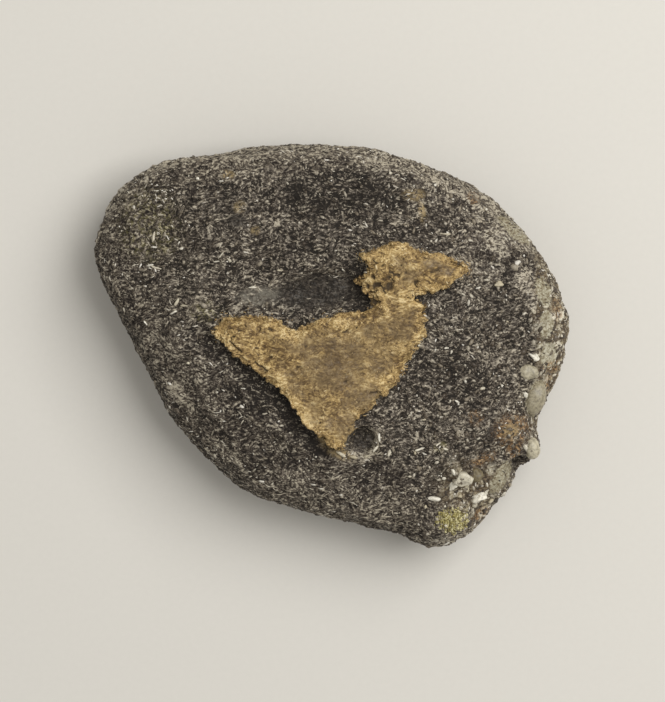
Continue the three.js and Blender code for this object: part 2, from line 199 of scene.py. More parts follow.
class SlabSettings(bpy.types.PropertyGroup):
    """Sizes and colours of the bone."""

    step: FloatProperty(
        name="Mesh step", description="Distance between the corners of the fine mesh",
        default=0.187 * MM, min=0.1 * MM, max=1 * MM, unit="LENGTH", precision=6)
    pore_depth: FloatProperty(
        name="Pore depth", description="How deep the pores of the spongy bone are",
        default=0.11 * MM, min=0, max=1 * MM, unit="LENGTH", precision=6)
    inset: FloatProperty(
        name="Inset", description="How far the surface lies inside the solid, to leave room for its relief",
        default=0.12 * MM, min=0, max=1 * MM, unit="LENGTH", precision=6)
    ridge_height: FloatProperty(
        name="Ridge height", description="How high the woven ridges between the pores stand",
        default=0.07 * MM, min=0, max=1 * MM, unit="LENGTH", precision=6)
    pore: FloatVectorProperty(
        name="Pore", description="Colour deep in the pores", subtype="COLOR", default=srgb(28, 22, 15))
    dark: FloatVectorProperty(
        name="Dark bone", description="Darkest bone", subtype="COLOR", default=srgb(51, 43, 34))
    mid: FloatVectorProperty(
        name="Bone", description="Main colour of the bone", subtype="COLOR", default=srgb(76, 68, 58))
    pale: FloatVectorProperty(
        name="Pale bone", description="Worn ridges", subtype="COLOR", default=srgb(114, 104, 90))
    cream: FloatVectorProperty(
        name="Cream", description="Palest specks", subtype="COLOR", default=srgb(184, 174, 153))


class CrustSettings(bpy.types.PropertyGroup):
    """Sizes and colours of the sediment cemented on the bone."""

    raggedness: FloatProperty(
        name="Raggedness", description="How far the crust's border wanders in and out",
        default=0.25 * MM, min=0, max=2 * MM, unit="LENGTH", precision=6)
    grain_height: FloatProperty(
        name="Grain height", description="How far the crust's sand grains stand out near its border",
        default=0.1 * MM, min=0, max=1 * MM, unit="LENGTH", precision=6)
    gold: FloatVectorProperty(
        name="Golden sand", description="The border and the arm", subtype="COLOR",
        default=srgb(155, 128, 81))
    tan: FloatVectorProperty(
        name="Tan clay", description="The smooth middle", subtype="COLOR", default=srgb(120, 100, 69))
    brown: FloatVectorProperty(
        name="Brown clay", description="Hollows between grains", subtype="COLOR",
        default=srgb(112, 88, 52))


class GritSettings(bpy.types.PropertyGroup):
    """Numbers and colours of the loose-looking grains that are cemented to the bone."""

    fibres: IntProperty(
        name="Fibres", description="Short strands of woven bone", default=6600, min=0)
    specks: IntProperty(
        name="Specks", description="Tiny grains over the whole bone", default=9900, min=0)
    sand: IntProperty(name="Sand grains", description="Rounded grains in the right edge", default=1600, min=0)
    crust_grains: IntProperty(
        name="Crust grains", description="Sand grains on the crust and beside it", default=1700, min=0)
    crystals: IntProperty(
        name="Crystals", description="Small yellow crystals on the lower tip", default=230, min=0)
    green: FloatVectorProperty(
        name="Green quartz", description="Smooth grey-green spots in the right edge", subtype="COLOR",
        default=srgb(168, 161, 136))
    rust: FloatVectorProperty(
        name="Rust", description="Iron stains", subtype="COLOR", default=srgb(150, 119, 82))
    lemon: FloatVectorProperty(
        name="Lemon", description="Yellow crystals", subtype="COLOR", default=srgb(214, 203, 126))


class StageSettings(bpy.types.PropertyGroup):
    """The floor, the lights and the camera."""

    camera_place: FloatVectorProperty(
        name="Camera", description="From the middle of the slab's underside", subtype="XYZ",
        default=(-1.5 * MM, 25.4 * MM, 280 * MM), unit="LENGTH", precision=5)
    lens: FloatProperty(name="Lens", description="Focal length", default=172, min=1, unit="CAMERA")
    key_power: FloatProperty(
        name="Key light", description="Power of the soft light on the right", default=1, min=0,
        unit="POWER")
    sky_strength: FloatProperty(
        name="Sky", description="Strength of the light from all round", default=0.43, min=0)
    floor: FloatVectorProperty(
        name="Floor", description="Colour of the floor", subtype="COLOR", default=srgb(222, 218, 209))


# Shapes


def rise(value, low, high):
    """Rises softly from 0 at low to 1 at high, and falls so where low is the greater."""
    share = np.clip((value - low) / (high - low), 0, 1)
    return share * share * (3 - 2 * share)


def wavy(places, span, shift=0):
    """Smooth noise from -1 to 1 at each place. Span is the size of its lumps, and shift picks other lumps."""
    return np.array([noise.noise(Vector(p)) for p in places / span + shift])


def unit(ways):
    """The same directions, each of length 1."""
    return ways / np.linalg.norm(ways, axis=1)[:, None]


def own_number(points, turn=0):
    """A repeatable random number from 0 to 1 for each point."""
    return np.modf(np.abs(np.sin(points @ (12.99, 78.23, 37.72) + turn) * 43758.5))[0]


def cells(places, span, shift=0):
    """Distance from each place to the nearest and second nearest of scattered points, in units of span,
    and the nearest one's own random number."""
    found = [noise.voronoi(Vector(p)) for p in places / span + shift]
    near = np.array([distances[:2] for distances, _ in found])
    nearest = np.array([points[0] for _, points in found])
    return near[:, 0], near[:, 1], own_number(nearest)


def strands(places, patch, long, wide, shift=0):
    """Noise drawn out into strands, which lie their own way in each patch."""
    centres = np.array([noise.voronoi(Vector(p))[1][0] for p in places / patch + shift])
    turn = 2 * math.pi * own_number(centres)
    way = unit(np.column_stack([np.cos(turn), np.sin(turn), own_number(centres, 1) - 0.5]) * LEAN)
    along = (places * way).sum(1)[:, None] * way
    return wavy((places - along) / wide + along / long + 7 * centres, 1)


def crust_distance(places):
    """Distance in plan from each place to the crust's border, positive inside."""
    x, y = places[:, 0] - SHIFT[0], places[:, 1] - SHIFT[1]
    nearest = np.full(len(places), np.inf)
    inside = np.zeros(len(places), bool)
    for (x0, y0), (x1, y1) in zip(CRUST, CRUST[1:] + CRUST[:1]):
        dx, dy = x1 - x0, y1 - y0
        along = np.clip(((x - x0) * dx + (y - y0) * dy) / (dx * dx + dy * dy), 0, 1)
        nearest = np.minimum(nearest, np.hypot(x - x0 - along * dx, y - y0 - along * dy))
        if dy:
            inside ^= ((y0 > y) != (y1 > y)) & (x < x0 + (y - y0) / dy * dx)
    return np.where(inside, nearest, -nearest)


def spot_share(places, spots):
    """How much each place belongs to one of the spots, from 0 to 1."""
    share = np.zeros(len(places))
    for cx, cy, half_length, half_width, turn in spots:
        angle = math.radians(turn)
        dx, dy = places[:, 0] - SHIFT[0] - cx, places[:, 1] - SHIFT[1] - cy
        along = (dx * math.cos(angle) + dy * math.sin(angle)) / half_length
        aside = (dy * math.cos(angle) - dx * math.sin(angle)) / half_width
        share = np.maximum(share, 1 - rise(np.hypot(along, aside), 0.55, 1.25))
    return share


def corner_numbers(mesh, kind):
    """The places, "co", in metres, or the normals, "normal", of a mesh's corners."""
    values = np.empty(len(mesh.vertices) * 3, np.float32)
    mesh.vertices.foreach_get(kind, values)
    return values.reshape(-1, 3).astype(float)


def mesh_places(mesh):
    """The places of a mesh's corners, in millimetres."""
    return corner_numbers(mesh, "co") / MM


def set_places(mesh, places):
    """Moves a mesh's corners to places in millimetres."""
    mesh.vertices.foreach_set("co", (places * MM).astype(np.float32).ravel())
    mesh.update()


def relaxed(mesh, places, turns):
    """Each corner moves halfway to the middle of its neighbours, several times."""
    edges = np.empty(len(mesh.edges) * 2, np.int32)
    mesh.edges.foreach_get("vertices", edges)
    a, b = edges.reshape(-1, 2).T
    count = len(places)
    neighbours = np.bincount(edges, minlength=count)[:, None]
    for _ in range(turns):
        totals = [np.bincount(a, way[b], count) + np.bincount(b, way[a], count) for way in places.T]
        places = (places + np.column_stack(totals) / neighbours) / 2
    return places


def new_object(name, data):
    """An object in the scene, at the origin."""
    made = bpy.data.objects.new(name, data)
    bpy.context.scene.collection.objects.link(made)
    return made


def fine_copy(source, step):
    """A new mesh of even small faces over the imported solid."""
    carrier = new_object("carrier", source.data.copy())
    remesh = carrier.modifiers.new("Even faces", "REMESH")
    remesh.mode = "VOXEL"
    remesh.voxel_size = step
    remesh.use_smooth_shade = True
    ready = carrier.evaluated_get(bpy.context.evaluated_depsgraph_get())
    mesh = bpy.data.meshes.new_from_object(ready)
    bpy.data.objects.remove(carrier)
    return mesh


def add_values(mesh, values):
    """Keeps a number for each corner under each name, where materials can read it."""
    for name, numbers in values.items():
        layer = mesh.attributes.new(name, "FLOAT", "POINT")
        layer.data.foreach_set("value", numbers.astype(np.float32))


def finished_slab():
    """The places and normals of the slab's corners, and the numbers kept on them, by name."""
    mesh = bpy.data.objects["slab"].data
    values = {}
    for layer in mesh.attributes:
        if layer.data_type == "FLOAT" and layer.domain == "POINT":
            numbers = np.empty(len(mesh.vertices), np.float32)
            layer.data.foreach_get("value", numbers)
            values[layer.name] = numbers.astype(float)
    return mesh_places(mesh), corner_numbers(mesh, "normal"), values


def ball(divisions):
    """The points and faces of a round grain."""
    shape = bmesh.new()
    bmesh.ops.create_icosphere(shape, subdivisions=divisions, radius=1)
    points = np.array([vertex.co for vertex in shape.verts])
    faces = np.array([[vertex.index for vertex in face.verts] for face in shape.faces])
    shape.free()
    return points, faces


def crystal():
    """The points and faces of a short six-sided prism with a point at each end."""
    turns = [math.radians(60 * i) for i in range(6)]
    ring = [(math.cos(turn), math.sin(turn)) for turn in turns]
    points = [(x, y, z) for z in (-0.5, 0.5) for x, y in ring] + [(0, 0, -1), (0, 0, 1)]
    faces = []
    for i in range(6):
        j = (i + 1) % 6
        faces += [(i, j, 6 + j), (i, 6 + j, 6 + i), (j, i, 12), (6 + i, 6 + j, 13)]
    return np.array(points), np.array(faces)


def own_directions(rng, normals, spread=(1, 1, 1)):
    """For each normal, two directions along the surface, turned at random, and the normal itself."""
    wish = rng.normal(size=normals.shape) * spread
    along = unit(wish - (wish * normals).sum(1)[:, None] * normals)
    return np.stack([along, np.cross(normals, along), normals], axis=1)


def own_sizes(rng, count, usual, variation, limits, least, most, larger=1):
    """Random sizes, as often above the usual one as below it, and each grain's three half sizes, which are
    shares of its size between the least and the most."""
    size = np.clip(np.exp(rng.normal(math.log(usual), variation, count)), *limits) * larger
    return size, size[:, None] * rng.uniform(least, most, (count, 3))


def joined_grains(
        name, rng, shape, centres, directions, sizes, uneven=0.12, bend=0, tints=None, facets=0,
        facet_at=(0.35, 0.75)):
    """One mesh of many small closed grains of the given half sizes. Facets is how many flat breaks each has.
    Each has its own tint from 0 to 1, random if none is given."""
    points, faces = shape
    count = len(centres)
    own = points * (1 + uneven * rng.uniform(-1, 1, (count, len(points), 1)))
    for _ in range(facets):
        way = unit(rng.normal(size=(count, 3)))
        beyond = np.einsum("gpk,gk->gp", own, way) - rng.uniform(*facet_at, (count, 1))
        own = own - np.clip(beyond, 0, None)[:, :, None] * way[:, None, :]
    own *= sizes[:, None, :]
    own[:, :, 1] += bend * rng.uniform(-1, 1, (count, 1)) * own[:, :, 0] ** 2
    placed = centres[:, None, :] + np.einsum("gpk,gkd->gpd", own, directions)
    placed = np.clip(placed, cad_low / MM, cad_high / MM)
    every_face = faces + len(points) * np.arange(count)[:, None, None]
    mesh = bpy.data.meshes.new(name)
    mesh.from_pydata((placed.reshape(-1, 3) * MM).tolist(), [], every_face.reshape(-1, 3).tolist())
    if tints is None:
        tints = rng.uniform(0, 1, count)
    add_values(mesh, {"tint": np.repeat(tints, len(points))})
    return mesh


def pick(rng, weight, count):
    """The numbers of corners picked at random, none of them twice, more where the weight is greater."""
    return rng.choice(len(weight), size=count, replace=False, p=weight / weight.sum())


def place_piece(name, mesh, material, smooth=True):
    """Makes a finished mesh a piece of the bone."""
    piece = new_object(name, mesh)
    mesh.materials.clear()
    mesh.materials.append(material)
    mesh.polygons.foreach_set("use_smooth", np.full(len(mesh.polygons), smooth))
    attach(piece, "root")
    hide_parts(NODE)


# Materials


class Shader:
    """Builds a node material step by step. Each call makes a node or a few, and returns their output."""

    def __init__(self, name):
        self.material = bpy.data.materials.new(name)
        self.material.use_nodes = True
        self.tree = self.material.node_tree
        self.place = self.vector("SCALE", self.node("ShaderNodeTexCoord", output="Object"), scale=1 / MM)

    def put(self, socket, value):
        if isinstance(value, bpy.types.NodeSocket):
            self.tree.links.new(value, socket)
        elif socket.type == "RGBA" and len(value) == 3:
            socket.default_value = (*value, 1)
        else:
            socket.default_value = value

    def node(self, kind, inputs=(), output=0, **settings):
        """Makes a node of a kind, with its settings and its inputs by name or number."""
        made = self.tree.nodes.new(kind)
        for key, value in settings.items():
            setattr(made, key, value)
        for key, value in dict(inputs).items():
            self.put(made.inputs[key], value)
        return made.outputs[output]

    def complete(self, **values):
        """Puts each value into the surface's input of that name, and gives the whole material."""
        surface = self.tree.nodes["Principled BSDF"]
        for key, value in values.items():
            self.put(surface.inputs[key.replace("_", " ")], value)
        return self.material

    def vector(self, operation, a, b=(0, 0, 0), scale=1, output="Vector"):
        return self.node("ShaderNodeVectorMath", {0: a, 1: b, 3: scale}, output, operation=operation)

    def math(self, operation, a, b):
        return self.node("ShaderNodeMath", {0: a, 1: b}, operation=operation)

    def plus(self, a, b):
        return self.math("ADD", a, b)

    def times(self, a, b):
        return self.math("MULTIPLY", a, b)

    def value(self, name):
        """A number that is kept on the mesh's corners."""
        return self.node("ShaderNodeAttribute", output="Fac", attribute_name=name)

    def moved(self, shift):
        return self.vector("ADD", self.place, (shift, -shift, 2 * shift))

    def noise(self, span, detail=4, roughness=0.5, distortion=0, place=None, shift=0):
        """Noise with lumps about as big as span, in millimetres."""
        at = place or (self.moved(shift) if shift else self.place)
        return self.node("ShaderNodeTexNoise", {
            "Vector": at, "Scale": 1 / span, "Detail": detail, "Roughness": roughness,
            "Distortion": distortion}, "Fac")

    def woven(self, patch, long, wide, shift):
        """Noise drawn out into strands, which lie their own way in each patch. Spans are in millimetres."""
        at = self.moved(shift)
        own = self.node("ShaderNodeTexVoronoi", {"Vector": at, "Scale": 1 / patch}, "Color")
        own = self.vector("SUBTRACT", own, (0.5, 0.5, 0.5))
        way = self.vector("NORMALIZE", self.vector("MULTIPLY", own, LEAN))
        along = self.vector("DOT_PRODUCT", at, way, output="Value")
        stretch = self.vector("SCALE", way, scale=self.times(along, 1 / long - 1 / wide))
        drawn = self.vector("ADD", self.vector("SCALE", at, scale=1 / wide), stretch)
        drawn = self.vector("ADD", drawn, self.vector("SCALE", own, scale=40))
        return self.noise(1, detail=1, distortion=0.5, place=drawn)

    def total(self, start, *terms):
        """Start, plus each noise less its mean of a half, times its weight."""
        for weight, value in terms:
            start = self.plus(start, self.times(self.math("SUBTRACT", value, 0.5), weight))
        return start

    def spread(self, value, low, high, to_low=0, to_high=1):
        """Takes low to high onto 0 to 1, or onto to_low to to_high, with soft ends."""
        return self.node("ShaderNodeMapRange", {
            "Value": value, "From Min": low, "From Max": high, "To Min": to_low, "To Max": to_high},
            "Result", interpolation_type="SMOOTHSTEP")

    def mix(self, share, a, b):
        """Colour a where share is 0, and colour b where it is 1."""
        return self.node("ShaderNodeMix", {0: share, 6: a, 7: b}, 2, data_type="RGBA")

    def cover(self, colour, over, share, strength):
        """The colour with another over it, as far as share times strength goes."""
        return self.mix(self.times(share, strength), colour, over)

    def ramp(self, value, stops):
        """The colours of the stops, blended by the value between their places."""
        made = self.tree.nodes.new("ShaderNodeValToRGB")
        self.put(made.inputs["Fac"], value)
        points = made.color_ramp.elements
        while len(points) < len(stops):
            points.new(1)
        for point, (at, colour) in zip(points, stops):
            point.position = at
            point.color = (*colour, 1)
        return made.outputs["Color"]

    def bump(self, height, distance, strength=1):
        inputs = {"Height": height, "Distance": distance, "Strength": strength}
        return self.node("ShaderNodeBump", inputs, "Normal")


def bare_bone(s, slab):
    """Dark woven bone, with its palest strands in scattered clusters. Returns colour, tone and height."""
    grain = s.noise(0.25, detail=3, roughness=0.65)
    thick = s.woven(patch=1.1, long=0.85, wide=0.23, shift=3)
    thin = s.woven(patch=0.65, long=0.5, wide=0.14, shift=17)
    broad = s.noise(3.4, detail=3, roughness=0.6, distortion=0.9, shift=8)
    narrow = s.noise(1, detail=3, roughness=0.6, distortion=0.9, shift=11)
    tone = s.total(0.49, (1.1, thick), (1.1, thin), (0.8, grain), (0.38, broad), (0.38, narrow))
    # Painted shade and light in the tone: relief darkens recesses as painted shade and pales ridges as wear,
    # the shade spots and the band below the crust's lower left border are painted shade, and the wear and
    # fade spots are partly painted light
    for name, weight in (
            ("relief", 0.12), ("worn", 0.24), ("foot", -0.14), ("shade", -0.14), ("fade_and_painted_light", 0.09)):
        tone = s.plus(tone, s.times(s.value(name), weight))
    colour = s.ramp(tone, [
        (0.26, slab.pore), (0.41, slab.dark), (0.54, slab.mid), (0.7, slab.pale), (0.9, slab.cream)])

    dense = s.spread(s.noise(1.7, detail=3, distortion=0.9, shift=31), 0.4, 0.62, 0.1, 1)
    stroke = s.math("MAXIMUM", s.spread(thin, 0.62, 0.68), s.spread(thick, 0.62, 0.68))
    stroke_colour = s.cover(slab.cream, srgb(164, 156, 108), s.value("dusty"), 0.6)
    colour = s.cover(colour, stroke_colour, s.times(stroke, dense), 0.5)

    # Hollows and the pit are painted dark: partly their own colour, partly painted shade
    hollow_colour = s.mix(s.spread(grain, 0.4, 0.7), slab.pore, slab.mid)
    colour = s.cover(colour, hollow_colour, s.value("hollow"), 0.92)
    smear_colour = s.mix(s.noise(0.5, shift=2), srgb(76, 71, 64), srgb(140, 134, 119))
    smear = s.times(s.value("smear"), s.spread(s.noise(0.6, shift=37), 0.3, 0.52))
    colour = s.cover(colour, smear_colour, smear, 0.8)
    return colour, tone, s.total(0.5, (0.9, thick), (0.9, thin), (0.5, grain))


def gritty_edge(s, grit, colour):
    """Over the bone's colour: quartz grains in brown clay, smooth green quartz, stains and dust."""
    mottle = s.noise(0.22, roughness=0.7, shift=27)
    own = s.plus(s.value("own_tint"), s.times(s.math("SUBTRACT", mottle, 0.48), 2.4))
    own = s.plus(own, s.times(s.value("fade_and_painted_light"), 0.32))
    cobble = s.ramp(own, [
        (0, srgb(60, 46, 31)), (0.35, srgb(108, 92, 69)), (0.58, srgb(150, 137, 110)),
        (0.8, srgb(184, 174, 148)), (1, srgb(220, 212, 191))])
    clay = s.mix(s.spread(mottle, 0.34, 0.66), srgb(42, 32, 22), srgb(128, 112, 88))
    cobble = s.mix(s.spread(s.value("relief"), -0.6, 0.1), clay, cobble)
    strewn = s.spread(s.noise(1.1, detail=3, shift=91), 0.4, 0.56, 0.35, 0.95)
    strewn = s.math("MAXIMUM", strewn, s.value("fade_and_painted_light"))
    colour = s.cover(colour, cobble, s.value("gritty"), strewn)

    vein = s.woven(patch=0.7, long=0.6, wide=0.16, shift=71)
    shine = s.plus(s.total(0.5, (1.3, vein), (1.2, mottle)), s.times(s.value("fade_and_painted_light"), 0.16))
    glassy = s.ramp(shine, [
        (0.2, srgb(98, 84, 60)), (0.42, srgb(142, 131, 105)), (0.6, grit.green), (0.9, srgb(198, 192, 171))])
    smooth = s.spread(s.total(s.value("green"), (1.2, s.noise(0.6, shift=2))), 0.2, 0.6)
    colour = s.cover(colour, glassy, smooth, 0.85)

    patchy = s.spread(s.noise(0.45, roughness=0.7, shift=7), 0.36, 0.6)
    stain = s.ramp(s.total(0.5, (1.5, mottle), (1, vein)), [
        (0.3, srgb(60, 44, 29)), (0.46, srgb(116, 86, 54)), (0.6, grit.rust), (0.85, srgb(204, 168, 118))])
    colour = s.cover(colour, stain, s.times(s.value("rust"), patchy), 0.85)
    colour = s.cover(colour, srgb(172, 150, 108), s.times(s.value("tan"), patchy), 0.7)
    dust = s.spread(s.noise(0.35, detail=3, roughness=0.7, shift=12), 0.45, 0.66)
    colour = s.cover(colour, grit.lemon, s.times(s.value("dusty"), dust), 0.14)
    bloom = s.ramp(s.total(0.5, (1.6, mottle), (0.8, vein)), [
        (0.28, srgb(94, 82, 46)), (0.46, srgb(158, 146, 86)), (0.7, grit.lemon)])
    return s.cover(colour, bloom, s.value("lemon"), 0.85)


def clay_crust(s, crust):
    """Golden sandy clay, browner where it is smooth and dark where it is torn. Returns colour, height and
    the finest of its noises."""
    fine = s.noise(0.2, roughness=0.72, shift=15)
    wide = s.noise(1.6, detail=3, distortion=0.9, shift=44)
    thick = s.woven(patch=1, long=0.85, wide=0.22, shift=53)
    thin = s.woven(patch=0.7, long=0.6, wide=0.15, shift=61)
    relief = s.value("relief")
    tone = s.total(0.58, (0.9, thick), (0.8, thin), (0.5, fine), (0.8, wide))
    # Low places of the crust are darker and high ones paler, partly painted shade
    sandy = s.ramp(s.plus(tone, s.times(relief, 0.1)), [
        (0.2, srgb(88, 67, 38)), (0.36, crust.brown), (0.52, crust.gold), (0.68, srgb(192, 162, 106)),
        (0.86, srgb(226, 202, 150))])
    drawn_out = s.vector("MULTIPLY", s.place, (1 / 0.55, 1 / 0.26, 1 / 0.4))
    streaks = s.noise(1, detail=5, roughness=0.72, place=drawn_out)
    tone = s.total(0.5, (1, streaks), (0.5, thin), (0.35, wide))
    smooth = s.ramp(s.plus(tone, s.times(relief, 0.08)), [
        (0.29, srgb(84, 67, 44)), (0.53, crust.tan), (0.77, srgb(164, 141, 99))])
    patches = s.noise(1.4, roughness=0.6, shift=20)
    clay_share = s.spread(s.total(s.value("clay"), (2.4, patches)), 0, 1.2)
    colour = s.cover(sandy, smooth, clay_share, 0.9)
    # Torn holes and cracks in the crust are painted dark, partly as painted shade
    colour = s.mix(s.spread(s.value("cut"), 0.15, 0.9), colour, srgb(74, 60, 40))
    height = s.total(0.5, (0.9, thick), (0.8, thin), (0.4, fine))
    return colour, s.times(height, s.spread(clay_share, 0, 1, 1, 0.35)), fine


def bone_material(slab, crust, grit):
    """The whole slab's material: bone, with its gritty edge and the crust over it."""
    s = Shader("Fossil bone")
    colour, tone, height = bare_bone(s, slab)
    colour = gritty_edge(s, grit, colour)
    crust_colour, crust_height, fine = clay_crust(s, crust)
    edge = s.plus(s.value("crust"), s.times(s.value("dusting"), 0.25))
    edge = s.total(edge, (1.1, fine), (0.5, s.noise(0.5, detail=3, shift=81)))
    on_crust = s.spread(edge, 0.42, 0.58)
    height = s.node("ShaderNodeMix", {0: on_crust, 2: height, 3: crust_height}, data_type="FLOAT")
    return s.complete(
        Base_Color=s.mix(on_crust, colour, crust_colour), Roughness=s.spread(tone, 0.3, 0.8, 0.86, 0.45),
        Specular_IOR_Level=0.4, Normal=s.bump(height, distance=0.11 * MM))


def grain_material(name, stops, roughness, mottle=0.35, clear=0, span=0.16):
    """Mineral grains: each has its own tint, with clouds and dark dirt on it. The stops give a colour of the
    chart for a tint, and clear is the share of light that goes in."""
    s = Shader(name)
    colour = s.ramp(s.value("tint"), [(tint, srgb(*chart)) for tint, chart in stops])
    clouds = s.noise(span, roughness=0.65)
    dirt = s.mix(s.spread(clouds, 0.35, 0.65), srgb(60, 50, 40), srgb(112, 100, 82))
    colour = s.cover(colour, dirt, s.spread(clouds, 0.62, 0.35), mottle)
    return s.complete(
        Base_Color=colour, Roughness=s.spread(clouds, 0.3, 0.7, roughness, roughness + 0.25),
        Subsurface_Weight=clear, Subsurface_Radius=(1, 1, 1), Subsurface_Scale=0.4 * MM,
        Normal=s.bump(clouds, distance=0.03 * MM, strength=0.6))


# The slab, in steps. Each takes and gives numbers for every corner of the fine mesh.


def take_off_crust(mesh, places, distance, top):
    """The places without the crust. Also gives the height of the round pit's low rim and raised, uneven
    floor, and how pale its rim is from wear, which is at its lower right."""
    flat = places.copy()
    flat[:, 2] -= CRUST_RAISE * np.where(top, rise(distance, -0.22, 0.22), 0)
    level = relaxed(mesh, flat, 3)
    near_border = (np.abs(distance) < 0.9) & top
    flat[near_border] = level[near_border]
    from_pit = flat[:, :2] - np.add(PIT_AT, SHIFT)
    pit_distance = np.hypot(*from_pit.T) + 0.3 * wavy(flat, 0.8, 61)
    near_pit = (pit_distance < 1.8) & top
    flat[near_pit] = relaxed(mesh, flat, 10)[near_pit]
    rim = rise(np.abs(pit_distance - PIT_RADIUS), 0.5, 0.1) * top
    floor = (0.3 + 0.3 * wavy(flat, 0.5, 67)) * rise(pit_distance, 1, 0.3) * top
    return flat, 0.07 * rim + floor, rim * rise(from_pit[:, 0] - from_pit[:, 1], -0.6, 0.8)


def ragged_crust(crust, places, flat, distance, top, shares):
    """How far the crust covers each place, how far it is torn open there, and a band of painted shadow, over
    a shallow groove, on the bone below its lower left border. There its border is sharp, and it thins out
    towards the upper right."""
    ragged = distance + 0.08 + crust.raggedness / MM * (
        0.9 * wavy(flat, 0.9) + 1.3 * strands(flat, patch=0.9, long=0.8, wide=0.35, shift=23))
    beyond = np.maximum(crust_distance(places - (0.8, 0.7, 0)), crust_distance(places - (1, -0.2, 0)))
    soft = rise(beyond - distance, 0, 0.7)
    covered = np.where(top, rise(ragged, -0.1 - 0.25 * soft, 0.14 + 0.25 * soft), 0)
    torn = np.maximum(0.62 * shares["broken"], 0.34 * shares["frayed"]) + 0.25 * wavy(flat, 1.5, 73)
    torn += 1.2 * strands(flat, patch=0.8, long=0.9, wide=0.3, shift=13)
    cracks = rise(shares["cracks_and_shadow_line"] + 0.5 * wavy(flat, 0.5, 17), 0.35, 0.75)
    cut = np.maximum(rise(torn, 0.7, 0.95), cracks) * covered
    # Painted shadow: the band on the side of the crust away from the light, found by shifting the places
    # towards the light, weaker towards the left tip
    foot = np.where(top, rise(crust_distance(places + (1.1, 1, 0)), -0.5, 0.8), 0) * (1 - covered)
    return covered, cut, foot * (0.3 + 0.7 * rise(places[:, 0], -9.5, -4.5))


def grit_and_wear(places, up, shares):
    """How gritty the bone is, at its right end and in its tail, and how much paler it is painted, by wear and
    by painted light.
    """
    end = rise(places[:, 0] + 0.6 * wavy(places, 1.3), GRITTY_FROM, GRITTY_FULL)
    gritty = np.clip(np.maximum(end, spot_share(places, TAIL)), 0, 1)
    # Steep sides towards the top, which face the light, are painted paler: partly wear, partly painted light
    edge = (1 - rise(up, 0.45, 0.95)) * rise(places[:, 1] - 0.2 * np.abs(places[:, 0]), 3, 8)
    return gritty, np.maximum(edge, shares["worn"]) * (up > -0.3)


def bone_relief(slab, flat, up, foot, pit, gritty, shares):
    """Height of the bone: woven ridges, pores, the round pit, cobbles in the gritty edge, and holes in the
    sides. Also gives each cobble's own tint."""
    woven = strands(flat, patch=1.1, long=0.9, wide=0.42)
    pores = rise(cells(flat, 0.62)[0], 0.42, 0.12)
    calm = 1 - 0.75 * np.maximum(shares["hollow"], shares["smear"])
    steep = 1 - rise(up, 0.25, 0.85)
    bone = calm * (slab.ridge_height / MM * 2.2 * woven + 0.07 * wavy(flat, 1.3, 2)
                   - slab.pore_depth / MM * pores * (0.5 + 0.8 * steep)) - 0.15 * foot
    bone += pit
    warp = 0.22 * np.column_stack([wavy(flat, 0.7, shift) for shift in (31, 37, 41)])
    near, next_near, own_tint = cells(flat + warp, 0.8, 3)
    domes = np.sqrt(np.clip(1 - (near / 0.75) ** 2, 0, 1))
    joints = rise(next_near - near, 0.22, 0)
    cobbles = 0.13 * domes - 0.08 - 0.09 * joints + 0.05 * woven
    bone += gritty * (1 - shares["green"]) * (cobbles - bone)
    hole, _, own_hole = cells(flat, 1.3, 43)
    side = 1 - rise(np.abs(up), 0.15, 0.5)
    bone -= 0.32 * side * (1 - gritty) * rise(hole, 0.12 + 0.18 * own_hole, 0.02 + 0.12 * own_hole)
    return bone, own_tint


def crust_relief(crust, flat, distance, clay, cut):
    """Height of the crust: sand grains, which the smooth clay hides, strands, lumps, holes and cracks."""
    sandy = 1 - 0.8 * clay
    sand = crust.grain_height / MM * sandy * (0.5 - cells(flat, 0.38, 5)[0]) + 0.05 * wavy(flat, 0.8, 6)
    sand += 0.09 * sandy * strands(flat, patch=1.2, long=1.1, wide=0.42, shift=8) - 0.26 * cut
    return sand + (0.07 * rise(distance, 1.7, 0.5) - 0.07 + 0.08 * wavy(flat, 2.4, 19))


